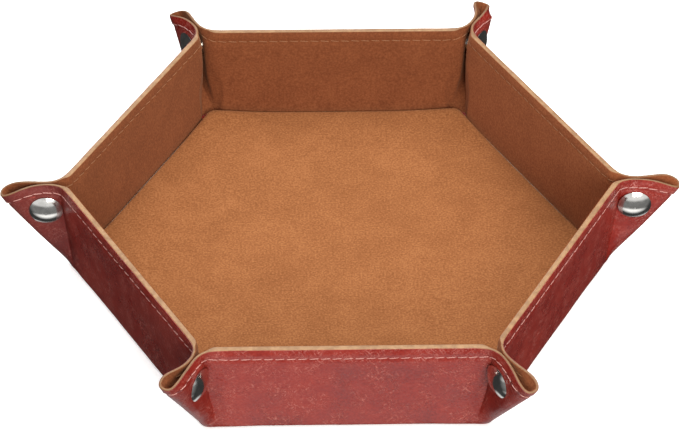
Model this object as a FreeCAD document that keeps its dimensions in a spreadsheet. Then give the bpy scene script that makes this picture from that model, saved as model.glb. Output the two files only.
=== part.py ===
import FreeCAD, Part
import math
import os
import Sketcher

# A hexagonal valet tray that snaps up from a flat sheet. Origin: middle of the underside, +Z up,
# the front wall faces -Y. Lengths are millimetres, angles degrees.
SIZES = {
    # the tray, measured on the leather side
    "base_width": 180.0,
    "wall_height": 40.8,
    "wall_lean": 3.3,
    # the layers of the sheet
    "leather_thick": 0.8,
    "board_thick": 1.5,
    "lining_thick": 0.6,
    "fold_clearance": 0.1,
    # base and wall boards, and the rounded edge between them
    "base_corner_round": 10.0,
    "base_board_setback": 1.2,
    "board_end_gap": 8.5,
    "board_foot_gap": 0.6,
    "board_rim_drop": 0.4,
    "board_corner_round": 3.0,
    "edge_round": 1.6,
    "edge_foot": 0.3,
    # the pinched corner ears
    "ear_gap": 3.0,
    "ear_corner_round": 28.0,
    "ear_foot_width": 0.6,
    "ear_fold_ease": 0.4,
    "ear_slit": 0.65,
    # the snaps
    "snap_drop": 10.8,
    "cap_diameter": 12.5,
    "cap_height": 2.4,
    "cap_lip": 0.5,
    "post_diameter": 3.4,
    "post_clearance": 0.05,
    "rivet_diameter": 4.4,
    "rivet_height": 0.3,
    "flange_diameter": 10.4,
    "flange_thick": 0.5,
    "socket_diameter": 7.6,
    "socket_bore": 5.2,
    "stud_undercut": 0.3,
    "stud_recess": 0.2,
    "snap_clearance": 0.15,
}

# Places worked out from the sizes. A flap's own axes: x from the outer fold towards the crease at
# the wall's end, z up along the fold; the flat sheet's corner lies at the top of the fold.
LAYOUT = {
    "hex_slope": "tan(30 deg)",
    "sheet_thick": "Sizes.leather_thick + Sizes.board_thick + Sizes.lining_thick",
    "ear_thick": "Sizes.leather_thick + Sizes.lining_thick",
    "ear_in": "Sizes.ear_gap / 2",
    "ear_out": "ear_in + ear_thick",
    "base_apothem": "Sizes.base_width / 2",
    # the rounded edge that turns under the base, and the base plates that it swings clear of
    "edge_rise": "Sizes.edge_round / tan(45 deg + Sizes.wall_lean / 2 * 1 deg)",
    "edge_reach": "edge_rise + Sizes.edge_foot",
    "edge_swing": "sqrt(edge_reach ^ 2 + Sizes.leather_thick ^ 2)",
    "plate_apothem": "base_apothem - edge_swing - Sizes.fold_clearance",
    # a wall widens upwards because it leans out
    "splay": "hex_slope * sin(Sizes.wall_lean * 1 deg)",
    "half_foot": "base_apothem * hex_slope - ear_out / cos(30 deg) - Sizes.fold_clearance",
    "half_rim": "half_foot + Sizes.wall_height * splay",
    "half_board": "half_foot - Sizes.board_end_gap",
    "lining_shift": "Sizes.lining_thick * tan(22.5 deg)",
    "lining_foot": "sheet_thick + Sizes.fold_clearance",
    "half_lining": "half_foot + lining_foot * splay",
    "board_foot": "sheet_thick + Sizes.board_foot_gap",
    "board_top": "Sizes.wall_height - Sizes.board_rim_drop",
    # the crease, the outer fold and the flap between them
    "crease_tilt": "atan(tan(Sizes.wall_lean * 1 deg) / cos(30 deg)) / 1 deg",
    "flap_angle": "30 - atan(splay) / 1 deg",
    "flap_slope": "tan(flap_angle * 1 deg)",
    "fold_tilt": "crease_tilt + flap_angle",
    "roll": "pi / 4 * (ear_in + ear_out)",
    "apex_drop": "(ear_out / cos(30 deg) - Sizes.ear_fold_ease) / (hex_slope - splay)",
    "apex_reach": "apex_drop / cos(atan(splay))",
    "corner_top": "(apex_drop + Sizes.wall_height) / cos(30 deg)",
    "arc_centre": "corner_top - Sizes.ear_corner_round / cos(30 deg)",
    "arc_start_x": "Sizes.ear_corner_round * sin(30 deg) - roll",
    "arc_start_z": "arc_centre + Sizes.ear_corner_round * cos(30 deg)",
    "fold_rise": "roll * sin(fold_tilt * 1 deg) - apex_reach * cos(crease_tilt * 1 deg)",
    "fold_foot": "(roll + Sizes.ear_foot_width) / flap_slope",
    "fold_top": "arc_centre + sqrt(Sizes.ear_corner_round ^ 2 - roll ^ 2)",
    "crease_top_z": "corner_top / (1 + flap_slope * hex_slope)",
    "crease_top_x": "crease_top_z * flap_slope - roll",
    # the snap, midway between crease and fold and below the sheet's edge, and its turned pieces
    "snap_z": "((crease_top_x + roll / 2) * sin(30 deg) + crease_top_z * cos(30 deg)"
              " - Sizes.snap_drop) / (cos(30 deg) + flap_slope / 2 * sin(30 deg))",
    "snap_x": "(snap_z * flap_slope - roll) / 2",
    "cap_radius": "Sizes.cap_diameter / 2",
    "cap_crown": "Sizes.cap_height - Sizes.cap_lip",
    "crown_radius": "(cap_radius ^ 2 + cap_crown ^ 2) / (2 * cap_crown)",
    "post_radius": "Sizes.post_diameter / 2",
    "eyelet_radius": "post_radius + Sizes.post_clearance",
    "socket_height": "Sizes.ear_gap - Sizes.flange_thick - Sizes.snap_clearance",
    "stud_height": "socket_height - Sizes.rivet_height",
    "stud_radius": "Sizes.socket_bore / 2 - Sizes.snap_clearance",
    "neck_radius": "stud_radius - Sizes.stud_undercut",
    "neck_top": "(Sizes.flange_thick + stud_height) / 2",
    "rivet_foot": "ear_thick + Sizes.flange_thick",
    "rivet_top": "rivet_foot + Sizes.rivet_height",
    "stud_post": "ear_thick + stud_height - Sizes.stud_recess",
}

WALLS = ["front", "right_front", "right_back", "back", "left_back", "left_front"]
# Corner i joins wall i to the next one, counter-clockwise.
CORNERS = ["front_right", "right", "back_right", "back_left", "left", "front_left"]
SIDE_TURN = 360.0 / len(WALLS)
FIRST_CORNER_TURN = -60.0
SAME_SPOT = 1e-6
X_AXIS = FreeCAD.Vector(1, 0, 0)
Y_AXIS = FreeCAD.Vector(0, 1, 0)
Z_AXIS = FreeCAD.Vector(0, 0, 1)


def fill_sheet(doc, name, cells):
    """Write one named value per row and give it that alias."""
    sheet = doc.addObject("Spreadsheet::Sheet", name)
    for row, (alias, value) in enumerate(cells.items(), start=1):
        sheet.set(f"A{row}", alias)
        sheet.set(f"B{row}", f"={value}" if isinstance(value, str) else str(value))
        sheet.setAlias(f"B{row}", alias)
    doc.recompute()
    return sheet


def number(owner, formula):
    """The plain number that a formula gives."""
    value = owner.evalExpression(formula)
    return float(getattr(value, "Value", value))


def origin_item(body, role):
    """One of the body's own origin planes or axes."""
    return next(item for item in body.Origin.OriginFeatures if item.Role == role)


def new_body(doc, label, place):
    body = doc.addObject("PartDesign::Body", label)
    body.Label = label
    body.Placement = place
    return body


def new_sketch(body, name, role, shift="0"):
    """An empty sketch on an origin plane, moved along its normal by the formula shift."""
    sketch = body.newObject("Sketcher::SketchObject", name)
    sketch.AttachmentSupport = [(origin_item(body, role), "")]
    sketch.MapMode = "FlatFace"
    sketch.setExpression("AttachmentOffset.Base.z", shift)
    return sketch


def hold_point(sketch, edge, end, x, y):
    """Hold a point of an edge at the formulas x and y, measured from the sketch origin."""
    for kind, formula, axis in (("DistanceX", x, -2), ("DistanceY", y, -1)):
        if formula == "0":
            sketch.addConstraint(Sketcher.Constraint("PointOnObject", edge, end, axis))
            continue
        value = number(sketch, formula)
        index = sketch.addConstraint(Sketcher.Constraint(kind, -1, 1, edge, end, value))
        sketch.setExpression(f"Constraints[{index}]", formula)


def hold_radius(sketch, edge, formula):
    index = sketch.addConstraint(Sketcher.Constraint("Radius", edge, number(sketch, formula)))
    sketch.setExpression(f"Constraints[{index}]", formula)


def arc_between(start, end, radius, turn):
    """The shorter arc from start to end; turn is 1 counter-clockwise and -1 clockwise."""
    chord = end - start
    left = FreeCAD.Vector(-chord.y, chord.x, 0).normalize()
    offset = math.sqrt(radius ** 2 - (chord.Length / 2) ** 2)
    centre = (start + end) / 2 + left * (turn * offset)
    first, last = (start, end) if turn > 0 else (end, start)
    angles = [math.atan2(p.y - centre.y, p.x - centre.x) for p in (first, last)]
    if angles[1] < angles[0]:
        angles[1] += 2 * math.pi
    return Part.ArcOfCircle(Part.Circle(centre, Z_AXIS, radius), *angles)


def outline(body, name, role, corners, shift="0"):
    """Draw a closed outline of lines and arcs and dimension every corner of it.

    A corner is (x, y), or (x, y, radius, turn) where an arc ends there.
    """
    sketch = new_sketch(body, name, role, shift)
    points = [FreeCAD.Vector(number(sketch, c[0]), number(sketch, c[1]), 0) for c in corners]
    ends = []
    for index, corner in enumerate(corners):
        start, end = points[index - 1], points[index]
        if len(corner) == 2:
            edge = sketch.addGeometry(Part.LineSegment(start, end), False)
            ends.append((edge, 1, 2))
        else:
            radius, turn = number(sketch, corner[2]), corner[3]
            edge = sketch.addGeometry(arc_between(start, end, radius, turn), False)
            ends.append((edge, 1, 2) if turn > 0 else (edge, 2, 1))
    for index, corner in enumerate(corners):
        edge, _, last = ends[index]
        following, first, _ = ends[(index + 1) % len(ends)]
        sketch.addConstraint(Sketcher.Constraint("Coincident", edge, last, following, first))
        hold_point(sketch, edge, last, corner[0], corner[1])
        if len(corner) > 2:
            hold_radius(sketch, edge, corner[2])
    return sketch


def pad(body, name, sketch, length, backward=False):
    feature = body.newObject("PartDesign::Pad", name)
    feature.Profile = sketch
    feature.Reversed = backward
    feature.setExpression("Length", length)
    return feature


def cut_through(body, name, sketch):
    """Cut an outline right through the body, both ways."""
    feature = body.newObject("PartDesign::Pocket", name)
    feature.Profile = sketch
    feature.Type = "ThroughAll"
    feature.Midplane = True
    return feature


def revolve(body, name, sketch, angle, backward=False):
    """Turn a profile about the body's own Z axis."""
    feature = body.newObject("PartDesign::Revolution", name)
    feature.Profile = sketch
    feature.ReferenceAxis = (origin_item(body, "Z_Axis"), [""])
    feature.Reversed = backward
    feature.Angle = angle
    return feature


def round_edges(body, name, base, radius, wanted):
    """Fillet every edge that the test wanted(first point, last point) picks."""
    body.Document.recompute()
    names = []
    for index, edge in enumerate(base.Shape.Edges, start=1):
        if wanted(*(vertex.Point for vertex in edge.Vertexes)):
            names.append(f"Edge{index}")
    feature = body.newObject("PartDesign::Fillet", name)
    feature.Base = (base, names)
    feature.setExpression("Radius", radius)
    return feature


def mirrored(right):
    """Complete an outline that is the same on both sides of x = 0, from its right half."""
    return right + [(f"-({x})", y) for x, y in reversed(right)]


def base_plate(doc, label, apothem, bottom, thick):
    """One hexagonal layer of the base, with rounded corners."""
    body = new_body(doc, label, FreeCAD.Placement())
    reach = f"({apothem}) / cos(30 deg)"
    half = f"({apothem}) * Layout.hex_slope"
    side = mirrored([(half, f"-({apothem})"), (reach, "0"), (half, apothem)])
    sketch = outline(body, f"{label}_hexagon", "XY_Plane", side, bottom)
    slab = pad(body, f"{label}_slab", sketch, thick)
    round_edges(body, f"{label}_corners", slab, "Sizes.base_corner_round",
                lambda p, q: abs(p.z - q.z) > SAME_SPOT)
    return body


def wall_place(doc, index):
    """A wall's own frame: x along the base edge, y inward, z up the slope."""
    lean = FreeCAD.Rotation(X_AXIS, doc.Sizes.wall_lean)
    front = FreeCAD.Placement(FreeCAD.Vector(0, -doc.Layout.base_apothem, 0), lean)
    turn = FreeCAD.Rotation(Z_AXIS, SIDE_TURN * index)
    return FreeCAD.Placement(FreeCAD.Vector(), turn) * front


def wall_leather(doc, name, place):
    """A wall's outer skin, which turns under the base in a rounded edge."""
    label = f"wall_leather_{name}"
    body = new_body(doc, label, place)
    thick = "Sizes.leather_thick"
    foot = "Layout.half_foot + Layout.edge_rise * Layout.splay"
    face = mirrored([(foot, "Layout.edge_rise"), ("Layout.half_rim", "Sizes.wall_height")])
    sheet = outline(body, f"{label}_face", "XZ_Plane", face)
    pad(body, f"{label}_panel", sheet, thick, backward=True)
    across, down = "cos(Sizes.wall_lean * 1 deg)", "sin(Sizes.wall_lean * 1 deg)"

    def under(reach, height):
        """A point by the base, from its reach inward and its height off the ground."""
        return f"{reach} * {across} + {height} * {down}", f"{height} * {across} - {reach} * {down}"

    section = [
        ("0", "Layout.edge_rise"),
        (*under("Layout.edge_rise", "0"), "Sizes.edge_round", 1),
        under("Layout.edge_reach", "0"),
        under("Layout.edge_reach", thick),
        under("Layout.edge_rise", thick),
        (thick, "Layout.edge_rise", f"Sizes.edge_round - {thick}", -1),
    ]
    edge = outline(body, f"{label}_edge", "YZ_Plane", section)
    pad(body, f"{label}_turn", edge, "2 * Layout.half_foot").Midplane = True
    return body


def wall_board(doc, name, place):
    """The stiffener of a wall, with rounded corners."""
    label = f"wall_board_{name}"
    body = new_body(doc, label, place)
    half = "Layout.half_board - Sizes.fold_clearance"
    face = mirrored([(half, "Layout.board_foot"), (half, "Layout.board_top")])
    sketch = outline(body, f"{label}_face", "XZ_Plane", face, "-Sizes.leather_thick")
    slab = pad(body, f"{label}_slab", sketch, "Sizes.board_thick", backward=True)
    round_edges(body, f"{label}_corners", slab, "Sizes.board_corner_round",
                lambda p, q: abs(p.y - q.y) > SAME_SPOT)
    return body


def lining_section(half):
    """Plan section of a wall's lining, which steps down from the board to the leather."""
    outside, bonded = "Sizes.leather_thick", "Layout.ear_thick"
    over_board = "Sizes.leather_thick + Sizes.board_thick"
    step = "Layout.half_board + Sizes.board_thick"
    return mirrored([
        ("Layout.half_board", over_board), (step, outside), (half, outside), (half, bonded),
        (f"{step} + Layout.lining_shift", bonded),
        ("Layout.half_board + Layout.lining_shift", "Layout.sheet_thick")])


def wall_lining(doc, name, place):
    """A wall's inner skin, lofted from its foot to the rim, which is longer."""
    label = f"wall_lining_{name}"
    body = new_body(doc, label, place)
    foot = outline(body, f"{label}_foot", "XY_Plane", lining_section("Layout.half_lining"),
                   "Layout.lining_foot")
    rim = outline(body, f"{label}_rim", "XY_Plane", lining_section("Layout.half_rim"),
                  "Sizes.wall_height")
    panel = body.newObject("PartDesign::AdditiveLoft", f"{label}_panel")
    panel.Profile = foot
    panel.Sections = [rim]
    panel.Ruled = True
    return body


def ear_place(doc, index):
    """A flap's frame: z up the outer fold, y square to the ear on its socket side."""
    lay = doc.Layout
    tilt = math.radians(lay.fold_tilt)
    crease = math.radians(lay.crease_tilt)
    reach = (lay.base_apothem / math.cos(math.radians(SIDE_TURN / 2))
             - lay.ear_out * lay.hex_slope - lay.apex_reach * math.sin(crease)
             - lay.roll * math.cos(tilt))
    axes = FreeCAD.Matrix(-math.cos(tilt), 0, math.sin(tilt), reach,
                          0, -1, 0, 0,
                          math.sin(tilt), 0, math.cos(tilt), lay.fold_rise,
                          0, 0, 0, 1)
    turn = FreeCAD.Rotation(Z_AXIS, FIRST_CORNER_TURN + SIDE_TURN * index)
    return FreeCAD.Placement(FreeCAD.Vector(), turn) * FreeCAD.Placement(axes)


def ear_flap(doc, label, place, stud_half):
    """Half an ear: leather bonded to lining, flat from the crease and rolled at the outer fold.

    The slit that narrows up the fold lets the two halves part as the tray opens.
    """
    body = new_body(doc, label, place)
    sign, away = ("-", "") if stud_half else ("", "-")
    face = outline(body, f"{label}_face", "XZ_Plane", [
        ("0", "Layout.fold_foot"),
        ("Sizes.ear_foot_width", "Layout.fold_foot"),
        ("Layout.crease_top_x", "Layout.crease_top_z"),
        ("Layout.arc_start_x", "Layout.arc_start_z"),
        ("0", "Layout.fold_top", "Sizes.ear_corner_round", 1),
    ], f"{away}Layout.ear_in")
    pad(body, f"{label}_panel", face, "Layout.ear_thick", backward=not stud_half)
    strip = outline(body, f"{label}_strip", "YZ_Plane", [
        (f"{sign}Layout.ear_in", "Layout.fold_foot"),
        (f"{sign}Layout.ear_out", "Layout.fold_foot"),
        (f"{sign}Layout.ear_out", "Layout.fold_top"),
        (f"{sign}Layout.ear_in", "Layout.fold_top"),
    ])
    revolve(body, f"{label}_roll", strip, 90.0, backward=stud_half)
    slit = outline(body, f"{label}_slit", "YZ_Plane", [
        ("0", "Layout.fold_foot"),
        (f"{sign}Sizes.ear_slit", "Layout.fold_foot"),
        (f"{sign}Sizes.fold_clearance", "Layout.fold_top"),
        ("0", "Layout.fold_top"),
    ])
    cut_through(body, f"{label}_parting", slit)
    eyelet = new_sketch(body, f"{label}_eyelet", "XZ_Plane")
    centre = FreeCAD.Vector(doc.Layout.snap_x, doc.Layout.snap_z, 0)
    circle = eyelet.addGeometry(Part.Circle(centre, Z_AXIS, doc.Layout.eyelet_radius), False)
    hold_point(eyelet, circle, 3, "Layout.snap_x", "Layout.snap_z")
    hold_radius(eyelet, circle, "Layout.eyelet_radius")
    cut_through(body, f"{label}_hole", eyelet)
    return body


def snap_place(doc, ear, stud_half, depth):
    """On a flap at the snap, z pointing away from the ear's middle plane."""
    outward = Y_AXIS * (-1 if stud_half else 1)
    spot = FreeCAD.Vector(doc.Layout.snap_x, 0, doc.Layout.snap_z) + outward * depth
    return ear * FreeCAD.Placement(spot, FreeCAD.Rotation(Z_AXIS, outward))


def turned(doc, label, place, profile):
    """A piece turned about its own Z axis from half a section."""
    body = new_body(doc, label, place)
    sketch = outline(body, f"{label}_half", "XZ_Plane", profile)
    revolve(body, f"{label}_turn", sketch, 360.0)
    return body


def snap_cap(doc, label, place, post):
    """A domed cap with a rounded lip; post lists its shank's corners below the leather."""
    dome = [("Layout.cap_radius - Sizes.cap_lip", "0"),
            ("Layout.cap_radius", "Sizes.cap_lip", "Sizes.cap_lip", 1),
            ("0", "Sizes.cap_height", "Layout.crown_radius", 1)]
    return turned(doc, label, place, post + dome)


def clinched_post():
    """Shank of the socket-side cap, riveted over inside the socket."""
    rivet = "Sizes.rivet_diameter / 2"
    return [("0", "-Layout.rivet_top"), (rivet, "-Layout.rivet_top"),
            (rivet, "-Layout.rivet_foot"), ("Layout.post_radius", "-Layout.rivet_foot"),
            ("Layout.post_radius", "0")]


def plain_post():
    """Shank of the stud-side cap, pressed up inside the hollow stud."""
    return [("0", "-Layout.stud_post"), ("Layout.post_radius", "-Layout.stud_post"),
            ("Layout.post_radius", "0")]


def snap_socket(doc, label, place):
    """Flange on the lining and the ring that takes the stud."""
    flange = "Sizes.flange_diameter / 2"
    ring = "Sizes.socket_diameter / 2"
    bore = "Sizes.socket_bore / 2"
    return turned(doc, label, place, [
        ("Layout.eyelet_radius", "0"), ("Layout.eyelet_radius", "-Sizes.flange_thick"),
        (bore, "-Sizes.flange_thick"), (bore, "-Layout.socket_height"),
        (ring, "-Layout.socket_height"), (ring, "-Sizes.flange_thick"),
        (flange, "-Sizes.flange_thick"), (flange, "0")])


def snap_stud(doc, label, place):
    """Flange on the lining and the hollow stud, necked below its head."""
    flange = "Sizes.flange_diameter / 2"
    return turned(doc, label, place, [
        ("Layout.eyelet_radius", "0"), ("Layout.eyelet_radius", "-Layout.stud_height"),
        ("Layout.stud_radius", "-Layout.stud_height"), ("Layout.stud_radius", "-Layout.neck_top"),
        ("Layout.neck_radius", "-Sizes.flange_thick"), (flange, "-Sizes.flange_thick"),
        (flange, "0")])


def corner_ear(doc, index):
    """Both flaps of a corner with the four pieces of its snap."""
    name = CORNERS[index]
    ear = ear_place(doc, index)
    pieces = []
    for kind, post, seat in (("socket", clinched_post, snap_socket),
                             ("stud", plain_post, snap_stud)):
        stud_half = kind == "stud"
        outside = snap_place(doc, ear, stud_half, doc.Layout.ear_out)
        inside = snap_place(doc, ear, stud_half, doc.Layout.ear_in)
        pieces.append(ear_flap(doc, f"ear_flap_{kind}_{name}", ear, stud_half))
        pieces.append(snap_cap(doc, f"snap_cap_{kind}_{name}", outside, post()))
        pieces.append(seat(doc, f"snap_{kind}_{name}", inside))
    return pieces


def build():
    """Make the whole document and return it with its pieces."""
    doc = FreeCAD.newDocument("valet_tray")
    fill_sheet(doc, "Sizes", SIZES)
    fill_sheet(doc, "Layout", LAYOUT)
    plate = "Layout.plate_apothem"
    over_board = "Sizes.leather_thick + Sizes.board_thick"
    pieces = [
        base_plate(doc, "base_leather", plate, "0", "Sizes.leather_thick"),
        base_plate(doc, "base_board", f"{plate} - Sizes.base_board_setback",
                   "Sizes.leather_thick", "Sizes.board_thick"),
        base_plate(doc, "base_lining", plate, over_board, "Sizes.lining_thick"),
    ]
    for index, name in enumerate(WALLS):
        place = wall_place(doc, index)
        for layer in (wall_leather, wall_board, wall_lining):
            pieces.append(layer(doc, name, place))
        pieces.extend(corner_ear(doc, index))
    doc.recompute()
    return doc, pieces


def check(doc, pieces):
    """Stop before anything is written if an object failed or a shape is unsound."""
    for item in doc.Objects:
        if {"Invalid", "Error"} & set(item.State):
            raise RuntimeError(f"{item.Label} failed: {item.State}")
    for piece in pieces:
        shape = piece.Shape
        if shape.isNull() or not shape.isValid() or len(shape.Solids) != 1:
            raise RuntimeError(f"{piece.Label} is not one sound solid")


def main():
    doc, pieces = build()
    check(doc, pieces)
    os.makedirs("parts", exist_ok=True)
    for piece in pieces:
        piece.Shape.exportStep(os.path.join("parts", f"{piece.Label}.step"))
        print(f"{piece.Label}: {piece.Shape.Volume:.1f} mm3")


main()
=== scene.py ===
"""Looks of a hexagonal valet tray whose corners pinch into snapped ears.

Shapes are worked out in millimetres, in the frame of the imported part, and meshes are in metres.
A corner has coordinates (s, w, z): s out along its diagonal, w away from the diagonal, z up.
"""

import logging
import math
from collections.abc import Callable
from dataclasses import dataclass, field
from enum import Enum
from functools import partial

import bmesh
import bpy
import numpy as np
from mathutils import Matrix, Vector, noise


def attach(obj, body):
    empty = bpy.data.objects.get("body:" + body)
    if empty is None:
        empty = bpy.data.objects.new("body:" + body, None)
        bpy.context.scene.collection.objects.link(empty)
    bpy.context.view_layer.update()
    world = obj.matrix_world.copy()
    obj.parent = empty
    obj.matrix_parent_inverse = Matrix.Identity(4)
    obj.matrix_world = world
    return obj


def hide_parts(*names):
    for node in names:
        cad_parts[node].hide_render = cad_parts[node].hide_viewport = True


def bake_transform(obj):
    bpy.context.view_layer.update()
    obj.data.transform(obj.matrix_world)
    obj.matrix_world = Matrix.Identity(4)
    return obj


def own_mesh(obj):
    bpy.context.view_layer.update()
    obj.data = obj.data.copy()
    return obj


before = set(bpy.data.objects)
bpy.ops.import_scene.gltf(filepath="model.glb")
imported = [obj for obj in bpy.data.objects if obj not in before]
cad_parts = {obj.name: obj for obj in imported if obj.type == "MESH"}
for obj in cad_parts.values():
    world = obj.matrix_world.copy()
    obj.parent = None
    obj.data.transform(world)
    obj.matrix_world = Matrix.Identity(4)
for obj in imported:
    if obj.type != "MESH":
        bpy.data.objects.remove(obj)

LOG = logging.getLogger("valet_tray")
MM = 0.001
UP = np.array([0.0, 0.0, 1.0])
LEVEL = np.array([1.0, 1.0, 0.0])
COS_30 = math.cos(math.radians(30))
WALLS = ("front", "right_front", "right_back", "back", "left_back", "left_front")
CORNERS = ("front_right", "right", "back_right", "back_left", "left", "front_left")


class Side(Enum):
    """Which half of its snap a flap carries; the value is the flap's side of the diagonal."""

    SOCKET = -1
    STUD = 1

    @property
    def word(self) -> str:
        """The half's name as the part's nodes spell it."""
        return self.name.lower()


class Slot(Enum):
    """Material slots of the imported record."""

    LEATHER = "outer_leather"
    LINING = "suede_lining"


def linear(code: str) -> tuple[float, float, float, float]:
    """An sRGB hex colour as linear RGBA.

    Args:
        code: six hex digits after a hash.

    Returns:
        Red, green, blue and an alpha of 1.
    """
    parts = [int(code[i:i + 2], 16) / 255 for i in (1, 3, 5)]
    bent = [p / 12.92 if p <= 0.04045 else ((p + 0.055) / 1.055) ** 2.4 for p in parts]
    return bent[0], bent[1], bent[2], 1.0


def add_node(tree: bpy.types.NodeTree, kind: str, inputs: dict | tuple = (), stops: tuple = (),
             **settings: object) -> bpy.types.Node:
    """Add a node with its settings, its values and its links.

    Args:
        tree: node tree of a material or the world.
        kind: Blender's type name, without the ShaderNode at its front.
        inputs: socket name or number to a value, an output socket, or a node whose first output is
            meant; or the same in the order of the sockets.
        stops: positions and hex colours of a colour ramp.
        settings: properties of the node itself.

    Returns:
        The new node.
    """
    made = tree.nodes.new("ShaderNode" + kind)
    for name, value in settings.items():
        setattr(made, name, value)
    for name, value in inputs.items() if isinstance(inputs, dict) else enumerate(inputs):
        if isinstance(value, bpy.types.Node):
            value = value.outputs[0]
        if isinstance(value, bpy.types.NodeSocket):
            tree.links.new(value, made.inputs[name])
        else:
            made.inputs[name].default_value = value
    for place, (position, colour) in enumerate(stops):
        ramp = made.color_ramp.elements
        stop = ramp[place] if place < 2 else ramp.new(position)
        stop.position, stop.color = position, linear(colour)
    return made


def fresh_material(name: str) -> tuple[bpy.types.Material, Callable[..., bpy.types.Node]]:
    """An empty node material.

    Args:
        name: the real material's name.

    Returns:
        The material, and add_node for its tree. Patterns follow the attribute rest_mm, each point's
        place at rest in millimetres, or on solids of the part the object's coordinates in metres.
    """
    material = bpy.data.materials.new(name)
    material.use_nodes = True
    material.node_tree.nodes.clear()
    return material, partial(add_node, material.node_tree)


@dataclass(frozen=True)
class PuLeather:
    """Polyurethane-coated split leather with a waxed pull-up finish, embossed with a fine grain."""

    deep: str = "#7a1d15"
    body: str = "#8c261c"
    rubbed: str = "#9a3327"
    # Pale colour of the pulled streaks, and of the crackle specks, which are partly painted glints.
    worn_and_glint: str = "#bd7065"
    # Painted shade on some ears multiplies the leather's colour by this.
    shade_tint: str = "#bdb4b0"
    dulling: float = 0.2
    mottle_mm: float = 21.0
    stroke_mm: tuple[float, float] = (21.0, 0.55)
    warp_mm: float = 6.0
    grain_mm: float = 0.9
    crackle_mm: float = 1.1
    roughness: float = 0.28
    # Turns that lay the strokes' long side along three directions.
    stroke_turns: tuple = ((0.0, -0.62, 0.35), (0.0, 0.87, -0.45), (0.0, 0.15, 1.25))

    def material(self) -> bpy.types.Material:
        """Oxblood with a soft satin gloss, pale pulled streaks, crackle on the creases drawn as pale specks
        that are partly painted glints, and painted shade on some ears.

        Returns:
            The finished material.
        """
        material, node = fresh_material("pu_coated_leather")
        place = node("Attribute", attribute_name="rest_mm").outputs["Vector"]
        cloud = node("TexNoise", {"Vector": place, "Scale": 1 / self.mottle_mm, "Detail": 6.0,
                                  "Roughness": 0.65})
        speck = node("TexNoise", {"Vector": place, "Scale": 1 / self.grain_mm, "Detail": 2.0})
        spread = node("MapRange", (speck, 0.25, 0.75, -0.16, 0.16))
        level = node("Math", (cloud, spread), operation="ADD")
        tint = node("ValToRGB", (level,), stops=((0.3, self.deep), (0.7, self.rubbed), (0.5, self.body)))
        warp = node("VectorMath", (cloud.outputs["Color"], (self.warp_mm,) * 3, place),
                    operation="MULTIPLY_ADD")
        patch = node("TexNoise", {"Vector": warp, "Scale": 1 / self.warp_mm, "Detail": 3.0})
        seen = node("MapRange", (patch, 0.38, 0.62))
        # Strokes are a fifth of a millimetre wide and are drawn wider so that a pixel holds them.
        long, wide = self.stroke_mm
        strokes = None
        for turn in self.stroke_turns:
            run = node("Mapping", {"Vector": warp, "Rotation": turn, "Scale": (long, wide, wide)},
                       vector_type="TEXTURE")
            mark = node("TexNoise", {"Vector": run, "Scale": 1.0, "Detail": 2.0})
            stroke = node("MapRange", (mark, 0.57, 0.73, 0.0, 0.9))
            strokes = node("Math", (strokes, stroke), operation="MAXIMUM") if strokes else stroke
        streak = node("Math", (strokes, seen), operation="MULTIPLY")
        crack = node("TexVoronoi", {"Vector": place, "Scale": 1 / self.crackle_mm})
        creased = node("Attribute", attribute_name="crease").outputs["Fac"]
        # Crackle on the creases, drawn as pale specks: partly the leather's wear, partly painted glints of
        # light on the cracked grain.
        island = node("MapRange", (crack, 0.16, 0.42, 0.85, 0.0))
        crackle_and_glint = node("Math", (island, creased), operation="MULTIPLY")
        painted_glints = node("Math", (crackle_and_glint, seen), operation="MULTIPLY")
        pale = node("Math", (streak, painted_glints), operation="MAXIMUM")
        drawn = node("Mix", {"Factor": pale, 6: tint, 7: linear(self.worn_and_glint)}, data_type="RGBA")
        # Painted shade: some ears' leather is drawn darker, standing for less light on them, and its gloss
        # is dulled.
        handled = node("Attribute", attribute_name="handled").outputs["Fac"]
        colour = node("Mix", {"Factor": handled, 6: drawn.outputs[2], 7: linear(self.shade_tint)},
                      data_type="RGBA", blend_type="MULTIPLY")
        # The real grain is near half a millimetre and is drawn coarser for the same reason.
        grain = node("TexVoronoi", {"Vector": place, "Scale": 1 / self.grain_mm})
        fine = node("Math", (pale, 2.0, grain), operation="MULTIPLY_ADD")
        split = node("Math", (crackle_and_glint, 3.0, fine), operation="MULTIPLY_ADD")
        bump = node("Bump", {"Strength": 0.35, "Distance": 0.00012, "Height": split})
        wear = node("MapRange", (cloud, 0.3, 0.7, self.roughness - 0.06, self.roughness + 0.08))
        dull = node("Math", (handled, self.dulling, wear), operation="MULTIPLY_ADD")
        shader = node("BsdfPrincipled", {"Base Color": colour.outputs[2], "Roughness": dull, "IOR": 1.50,
                                         "Normal": bump})
        node("OutputMaterial", (shader,))
        return material


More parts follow.
